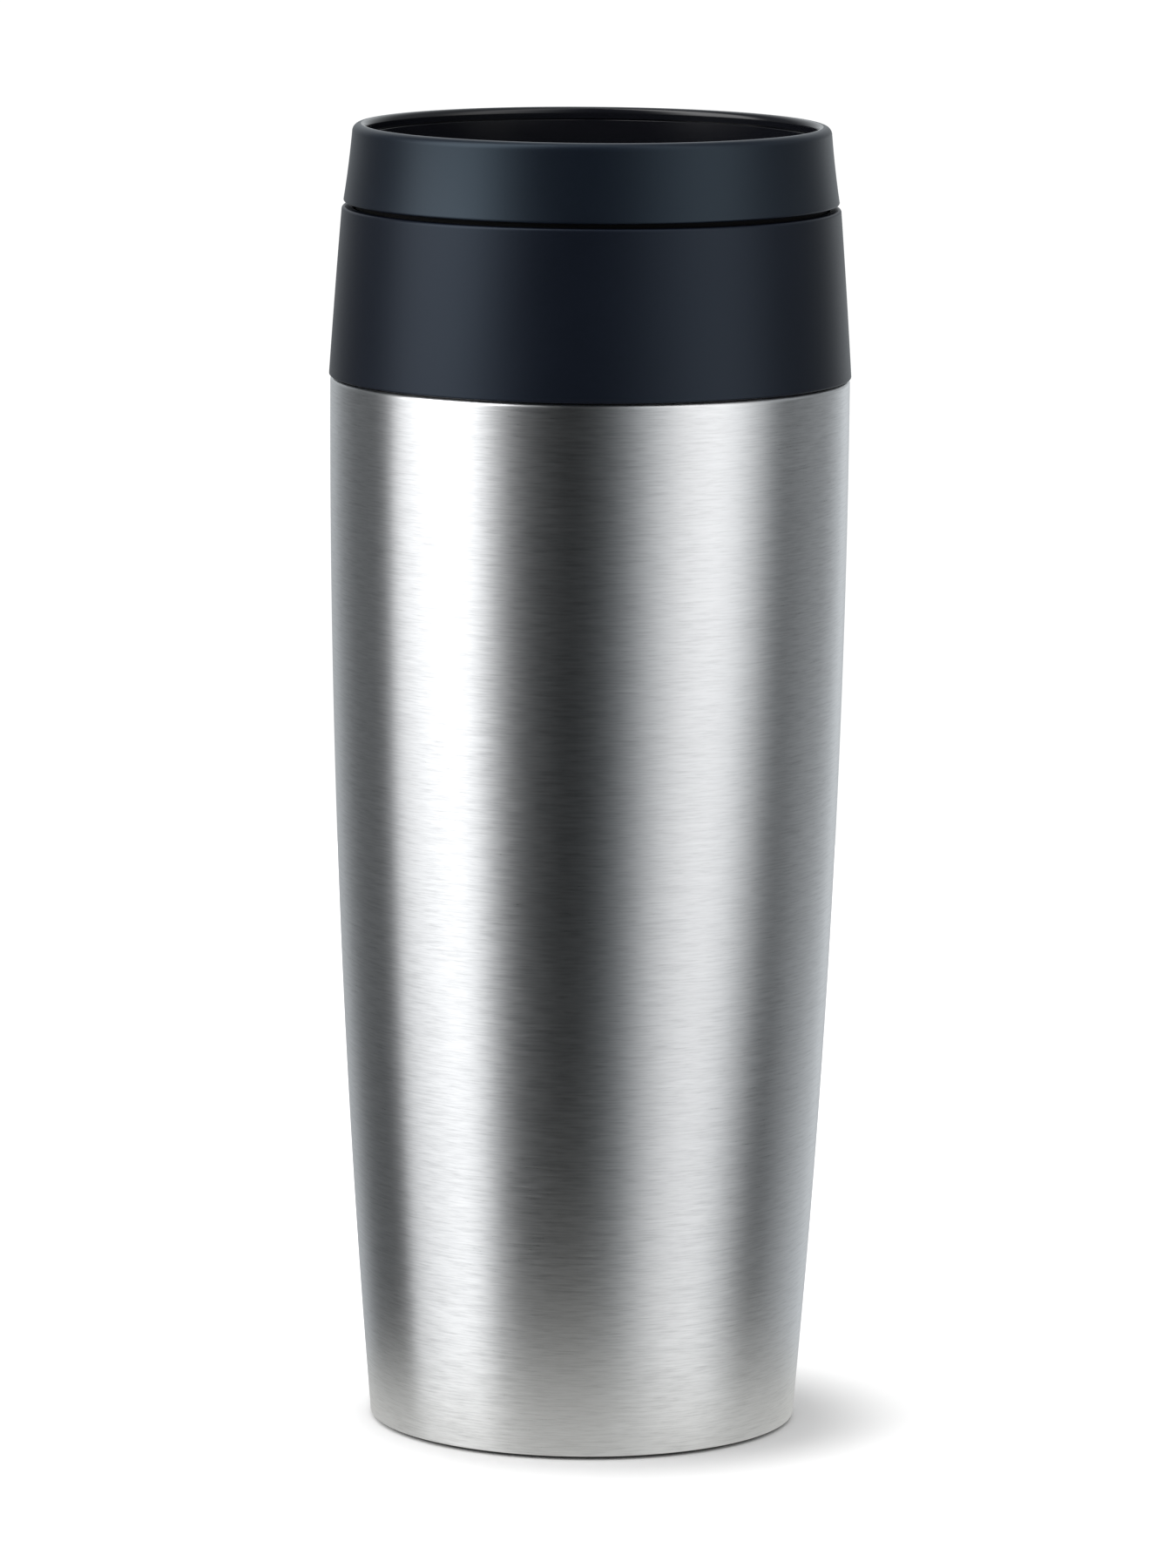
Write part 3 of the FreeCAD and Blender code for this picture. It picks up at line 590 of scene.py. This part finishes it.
hub_r, hub_bore, hub_low, hub_top = 12.0, 9.7, 162.0, 181.2
stem_bore, pocket_r, pocket_top, hub_floor = 3.8, 6.1, 163.2, 164.6
groove_foot, groove_head = 178.6, 179.6
hub_outline = rounded(
    [
        (stem_bore, pocket_top),
        (pocket_r, pocket_top),
        (pocket_r, hub_low, 0.15),
        (hub_r - 0.8, hub_low, 0.3),
        (hub_r, hub_low + 0.8, 0.3),
        (hub_r, groove_foot),
        (hub_r - 0.7, groove_foot),
        (hub_r - 0.7, groove_head),
        (hub_r, groove_head),
        (hub_r, hub_top, 0.3),
        (hub_bore, hub_top, 0.3),
        (hub_bore, hub_floor, 0.5),
        (stem_bore, hub_floor),
    ],
    4,
)
spoke_low, spoke_high, spoke_w, spoke_turn = 168.0, 171.6, 2.4, 45
spoke_in, spoke_out = hub_r - 0.4, THROAT_R - 0.1


def add_spoke(bm, angle):
    """One spoke from inside the hub's wall to the throat, with rounded long edges and wider ends."""
    half, middle_z = (spoke_high - spoke_low) / 2, (spoke_high + spoke_low) / 2
    section = rounded([(-1, -1, 0.5), (1, -1, 0.5), (1, 1, 0.5), (-1, 1, 0.5)], 5)
    c, s = math.cos(angle), math.sin(angle)
    widen, over = 0.7, 0.18
    loops = []
    for t in evenly(0.0, 1.0, 12):
        flare = 1 + widen * (max(0, 1 - t / over) ** 2 + max(0, 1 - (1 - t) / over) ** 2)
        loop = []
        for u, w in section:
            across = u * spoke_w / 2 * flare
            far = math.sqrt(spoke_out**2 - across**2)
            along = spoke_in + (far - spoke_in) * t
            x, y = along * c - across * s, along * s + across * c
            loop.append(bm.verts.new((x * MM, y * MM, (middle_z + w * half) * MM)))
        loops.append(loop)
    skin(bm, loops)


hub = bmesh.new()
turn_into(hub, supported(hub_outline), 128)
for k in range(4):
    add_spoke(hub, math.radians(spoke_turn + 90 * k))
guide = new_object("hub_guide", hub, "lid", GLOSS_BLACK)
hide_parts("valve_guide")

seal_back, seal_front = groove_r + 0.05, LAND_R - 0.05
seal_low, seal_high = groove_low + 0.1, groove_high - 0.1
waist, middle = seal_front - 0.45, (groove_low + groove_high) / 2
gasket_outline = (
    [(seal_back, seal_low), (waist, seal_low)]
    + arc((waist, seal_low), (seal_front, seal_low + 0.45), (waist, seal_low + 0.9), 10)
    + [(waist, middle + 0.3)]
    + arc((waist, middle + 0.3), (seal_front, seal_high - 0.45), (waist, seal_high), 10)
    + [(seal_back, seal_high)]
)
gasket = lathe("lid_seal", supported(gasket_outline), "gasket", GREY_RUBBER, 256)
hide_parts("lid_gasket")

# --- button and valve ---

button_r, button_top, button_low, button_wall, dish = 26.5, 191.0, 184.5, 1.5, 0.9
dish_r = button_r - 2.6
bore_r, cap_under = button_r - button_wall, 189.4
dish_high, dish_low = (dish_r + 0.35, button_top), (dish_r - 0.35, button_top - 0.03)
cap_foot, cap_side = (button_r - 0.4, button_low), (button_r, button_low + 0.4)
cap_edge, cap_rim = (button_r, button_top - 0.8), (button_r - 0.8, button_top)
cap_outline = (
    [(0, cap_under), (bore_r, cap_under), (bore_r, button_low + 0.2), (bore_r + 0.2, button_low)]
    + [cap_foot]
    + arc(cap_foot, (button_r - 0.117, button_low + 0.117), cap_side, 5)
    + [cap_edge]
    + arc(cap_edge, (button_r - 0.234, button_top - 0.234), cap_rim, 8)
    + [dish_high]
    + arc(dish_high, (dish_r, button_top - 0.01), dish_low, 5)
    + dome(*dish_low, button_top - dish, 24)
)
cap = lathe("button_top", supported(cap_outline), "button", GLOSS_BLACK, 256)
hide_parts("button_cap")

valve_r, valve_low, valve_high = 29.2, 158.8, 163.3
pan, stem_hole, hole_low = valve_low + 2.0, 3.63, valve_low + 1.17
valve_outline = (
    [(0, valve_low), (20.0, valve_low)]
    + arc((20.0, valve_low), (25.4, valve_low + 0.7), (valve_r, valve_low + 2.2), 14)
    + [(valve_r, valve_low + 2.65), (valve_r - 0.15, valve_low + 2.8), (valve_r - 1.6, valve_low + 2.8)]
    + [(valve_r - 1.6, valve_high - 0.9), (valve_r - 1.0, valve_high - 0.9), (valve_r - 1.2, valve_high)]
    + [(valve_r - 3.6, valve_high), (valve_r - 3.9, valve_high - 0.15), (valve_r - 4.8, pan + 0.2)]
    + [(valve_r - 5.3, pan), (6.0, pan), (5.4, pan + 0.15), (5.0, pan + 0.6)]
    + [(stem_hole, pan + 0.6), (stem_hole, hole_low), (0, hole_low)]
)
valve = lathe("valve_pan", supported(valve_outline), "button", DARK_GREY, 256)
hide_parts("valve_plate")

lip_low, lip_high = valve_low + 2.85, SEAT - 0.05
lip_step = valve_high - 0.95
valve_lip_outline = (
    [(valve_r - 1.55, lip_low), (valve_r + 0.6, lip_low)]
    + arc((valve_r + 0.6, lip_low), (valve_r + 1.1, lip_low + 0.5), (valve_r + 0.9, lip_low + 1.0), 8)
    + [(valve_r + 0.72, lip_high - 0.15), (valve_r + 0.5, lip_high), (valve_r - 0.1, lip_high)]
    + [(valve_r - 0.25, lip_high - 0.1), (valve_r - 0.95, valve_high), (valve_r - 0.95, lip_step)]
    + [(valve_r - 1.55, lip_step)]
)
valve_lip = lathe("valve_lip", supported(valve_lip_outline), "button", GREY_RUBBER, 256)
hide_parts("valve_seal")

# --- spring: open coils between two closed end turns ---

wire_r, coil_r, coil_low, coil_high = 0.4, 5.4, 164.65, 176.95
end_turns, open_turns, ring_steps, wire_steps = 1.0, 4.0, 48, 12


def coil_height(turn):
    """Height of the wire's centre after this many turns. Each end turn lies on itself, and the
    turns between them are evenly open."""
    lie = 2 * wire_r + 0.02
    rise = coil_high - coil_low - 2 * wire_r
    climb = (rise - 2 * end_turns * lie) / open_turns
    if turn < end_turns:
        return lie * turn
    if turn < end_turns + open_turns:
        return lie * end_turns + climb * (turn - end_turns)
    return lie * end_turns + climb * open_turns + lie * (turn - end_turns - open_turns)


coil = bmesh.new()
rings = []
total = int((2 * end_turns + open_turns) * ring_steps)
for i in range(total + 1):
    turn = i / ring_steps
    angle = 2 * math.pi * turn
    z = coil_low + wire_r + coil_height(turn)
    ring = []
    for k in range(wire_steps):
        around = 2 * math.pi * k / wire_steps
        r = coil_r + wire_r * math.cos(around)
        up = z + wire_r * math.sin(around)
        ring.append(coil.verts.new((r * math.cos(angle) * MM, r * math.sin(angle) * MM, up * MM)))
    rings.append(ring)
skin(coil, rings)
spring = new_object("spring_coil", coil, "lid", SPRING)
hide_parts("return_spring")
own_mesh(spring)

# --- CAD nodes that show as they are ---

carried = {
    "vacuum_plug": GLASS_BEAD,
    "getter": GETTER,
    "cam_sleeve": NATURAL,
    "index_ring": NATURAL,
    "wiper_seal": GREY_RUBBER,
    "stem_seal": GREY_RUBBER,
    "button_carrier": DARK_GREY,
    "valve_stem": DARK_GREY,
    "stem_clip": SPRING,
    "thrust_washer": SPRING,
}
for node, material in carried.items():
    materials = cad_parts[node].data.materials
    materials.clear()
    materials.append(material)

# --- camera ---

# Its place, its lens, and how far it looks down and leans are fitted to the photograph.
camera = bpy.data.objects.new("camera", bpy.data.cameras.new("camera"))
bpy.context.scene.collection.objects.link(camera)
camera.data.lens = 196.86
camera.data.sensor_width = 36.0
camera.data.clip_end = 20.0
camera.location = (0.00019, -1.301, 0.3024)
looks_down, roll = 8.899, 0.478
camera.rotation_mode = "XYZ"
camera.rotation_euler = (math.radians(90 - looks_down), 0, 0)
camera.rotation_euler.rotate_axis("Z", math.radians(roll))
bpy.context.scene.camera = camera

# --- floor and light ---


def studio_world():
    """A studio seen only in reflections and as light. Its brightness runs round the horizon in
    soft and hard-edged panels. As light on matt surfaces it is plain, and the camera sees white."""
    world = bpy.data.worlds.new("studio")
    bpy.context.scene.world = world
    world.use_nodes = True
    tree = world.node_tree
    tree.nodes.clear()

    def node(kind, **settings):
        made = tree.nodes.new(kind)
        for key, value in settings.items():
            setattr(made, key, value)
        return made

    def math_node(operation, *values):
        made = node("ShaderNodeMath", operation=operation)
        for socket, value in zip(made.inputs, values):
            if isinstance(value, (int, float)):
                socket.default_value = value
            else:
                tree.links.new(value, socket)
        return made.outputs[0]

    direction = node("ShaderNodeTexCoord").outputs["Generated"]
    split = node("ShaderNodeSeparateXYZ")
    tree.links.new(direction, split.inputs[0])
    x, y, z = split.outputs
    azimuth = math_node("ARCTAN2", x, math_node("MULTIPLY", y, -1.0))
    share = math_node("MULTIPLY_ADD", azimuth, 1 / (2 * math.pi), 0.5)
    # Degrees round from the camera's side, brightness, and how cold the light is.
    upper = [
        (-180, 0.48, 1), (-155, 0.36, 1), (-142, 0.19, 1), (-128, 0.12, 1), (-108, 0.10, 1),
        (-100, 0.16, 1), (-94, 0.90, 0.4), (-80, 0.98, 0.4), (-58, 1.08, 0.4), (-50, 0.79, 0.4),
        (-42, 0.24, 0.8), (-33, 0.038, 2), (-22, 0.016, 2), (-8, 0.006, 2), (0, 0.014, 2),
        (8, 0.052, 2), (18, 0.19, 1), (30, 0.52, 0.4), (44, 1.00, 0.2), (58, 1.35, 0.2),
        (68, 1.30, 0.4), (78, 0.84, 0.6), (88, 0.30, 1), (96, 0.10, 1), (110, 0.11, 1),
        (128, 0.15, 1), (140, 0.34, 1), (155, 0.60, 1), (180, 0.48, 1),
    ]
    lower = [
        (-180, 0.62, 1), (-158, 0.52, 1), (-147, 0.36, 1), (-136, 0.15, 1), (-122, 0.08, 1),
        (-110, 0.06, 1), (-103, 0.12, 1), (-99, 0.44, 0.4), (-88, 0.72, 0.4), (-76, 0.95, 0.4),
        (-62, 1.17, 0.4), (-52, 0.80, 0.6), (-44, 0.28, 1), (-34, 0.065, 2), (-22, 0.035, 2),
        (-10, 0.027, 2), (2, 0.060, 2), (14, 0.17, 1.6), (22, 0.37, 1), (32, 0.79, 0.4),
        (44, 1.04, 0.3), (56, 0.97, 0.3), (66, 0.66, 0.6), (76, 0.26, 1), (84, 0.10, 1),
        (94, 0.08, 1), (104, 0.17, 1), (118, 0.44, 1), (134, 0.74, 1), (180, 0.62, 1),
    ]
    high = [
        (-180, 0.45, 1), (-150, 0.28, 1), (-128, 0.08, 1), (-104, 0.10, 1), (-97, 0.50, 0),
        (-90, 1.45, 0), (-72, 1.80, 0), (-58, 1.88, 0), (-48, 1.05, 0), (-38, 0.28, 0),
        (-28, 0.05, 1), (-8, 0.010, 1), (8, 0.045, 1), (18, 0.14, 1), (30, 0.34, 1),
        (44, 0.60, 0), (58, 0.74, 0), (68, 0.66, 0), (78, 0.42, 0), (90, 0.20, 1),
        (128, 0.14, 1), (150, 0.26, 1), (180, 0.45, 1),
    ]

    def ring_of_light(panels):
        ramp = node("ShaderNodeValToRGB")
        elements = ramp.color_ramp.elements
        while len(elements) < len(panels):
            elements.new(0.5)
        for element, (degrees, level, cold) in zip(elements, panels):
            element.position = (degrees + 180) / 360
            element.color = (level * (1 - 0.045 * cold), level, level * (1 + 0.03 * cold), 1)
        tree.links.new(share, ramp.inputs["Fac"])
        return ramp.outputs["Color"]

    def blended(above, below, from_z, to_z):
        """above at heights over from_z, going over to below at to_z."""
        fall = node("ShaderNodeMapRange", interpolation_type="SMOOTHSTEP")
        fall.inputs["From Min"].default_value = from_z
        fall.inputs["From Max"].default_value = to_z
        tree.links.new(z, fall.inputs["Value"])
        both = node("ShaderNodeMix", data_type="RGBA")
        tree.links.new(fall.outputs["Result"], both.inputs["Factor"])
        tree.links.new(above, both.inputs["A"])
        tree.links.new(below, both.inputs["B"])
        return both.outputs["Result"]

    panels = blended(ring_of_light(upper), ring_of_light(lower), -0.14, -0.31)
    panels = blended(ring_of_light(high), panels, 0.08, -0.05)
    # The studio gets brighter from the floor to the ceiling, between these two levels.
    dimmest, brightest = 0.45, 1.9
    higher = math_node("MULTIPLY_ADD", z, 1.7, 1.37)
    level = math_node("MINIMUM", math_node("MAXIMUM", higher, dimmest), brightest)

    light_path = node("ShaderNodeLightPath")
    studio, soft, white = (node("ShaderNodeBackground") for _ in range(3))
    tree.links.new(panels, studio.inputs["Color"])
    tree.links.new(level, studio.inputs["Strength"])
    # The light on matt surfaces is stronger on the left.
    tree.links.new(math_node("MULTIPLY_ADD", x, -0.48, 0.97), soft.inputs["Strength"])
    white.inputs["Strength"].default_value = 1.05
    for plain in (soft, white):
        plain.inputs["Color"].default_value = (1, 1, 1, 1)
    lit, seen = node("ShaderNodeMixShader"), node("ShaderNodeMixShader")
    tree.links.new(light_path.outputs["Is Diffuse Ray"], lit.inputs["Fac"])
    tree.links.new(studio.outputs[0], lit.inputs[1])
    tree.links.new(soft.outputs[0], lit.inputs[2])
    tree.links.new(light_path.outputs["Is Camera Ray"], seen.inputs["Fac"])
    tree.links.new(lit.outputs[0], seen.inputs[1])
    tree.links.new(white.outputs[0], seen.inputs[2])
    tree.links.new(seen.outputs[0], node("ShaderNodeOutputWorld").inputs["Surface"])


def area_light(name, place, target, size, watts):
    """A round lamp that neither the camera nor a reflection shows."""
    light = bpy.data.lights.new(name, "AREA")
    light.shape = "DISK"
    light.size = size
    light.energy = watts
    obj = bpy.data.objects.new(name, light)
    bpy.context.scene.collection.objects.link(obj)
    obj.location = place
    direction = [t - p for t, p in zip(target, place)]
    obj.rotation_euler = Vector(direction).to_track_quat("-Z", "Y").to_euler()
    obj.visible_camera = obj.visible_glossy = False


studio_world()
area_light("overhead", place=(-0.045, 0.05, 3.0), target=(0, 0, 0), size=0.32, watts=38.0)


def disc(name, radius, place, look):
    """A flat round piece of the stage."""
    bm = bmesh.new()
    bmesh.ops.create_circle(bm, cap_ends=True, segments=96, radius=radius)
    mesh = bpy.data.meshes.new(name)
    bm.to_mesh(mesh)
    bm.free()
    mesh.materials.append(look.material)
    obj = bpy.data.objects.new(name, mesh)
    obj.location = place
    bpy.context.scene.collection.objects.link(obj)
    return obj


floor_look = Look("floor_white", Roughness=0.9)
floor_tones = (0.3, (0.89, 0.888, 0.885)), (0.7, (0.91, 0.908, 0.905))
floor_look.set("Base Color", floor_look.ramp(floor_look.noise(14.0), *floor_tones))
floor = disc("floor", 0.55, (0, 0, 0), floor_look)
floor.visible_glossy = False

# The floor close to the mug, as the steel reflects it: white at the foot, and gone a few
# centimetres out.
near_look = Look("floor_near", Base_Color=(0, 0, 0, 1), Roughness=1.0)
glow = near_look.node("ShaderNodeEmission")
clear = near_look.node("ShaderNodeBsdfTransparent")
blend = near_look.node("ShaderNodeMixShader")
distance = near_look.node("ShaderNodeVectorMath", operation="LENGTH")
near_look.link(near_look.place, distance.inputs[0])
fade = near_look.node("ShaderNodeMapRange", interpolation_type="SMOOTHSTEP")
for key, value in {"From Min": 0.036, "From Max": 0.092, "To Min": 1.0, "To Max": 0.0}.items():
    fade.inputs[key].default_value = value
near_look.link(distance.outputs["Value"], fade.inputs["Value"])
near_look.link(fade.outputs["Result"], blend.inputs["Fac"])
near_look.link(clear.outputs[0], blend.inputs[1])
near_look.link(glow.outputs[0], blend.inputs[2])
glow.inputs["Color"].default_value = (1.0, 1.0, 0.96, 1)
glow.inputs["Strength"].default_value = 0.60
near_look.link(blend.outputs[0], near_look.tree.nodes["Material Output"].inputs["Surface"])
near = disc("floor_near", 0.1, (0.003, -0.012, -0.0003), near_look)
near.visible_camera = near.visible_diffuse = False
near.visible_shadow = near.visible_transmission = False

bpy.context.scene.view_settings.view_transform = "Standard"
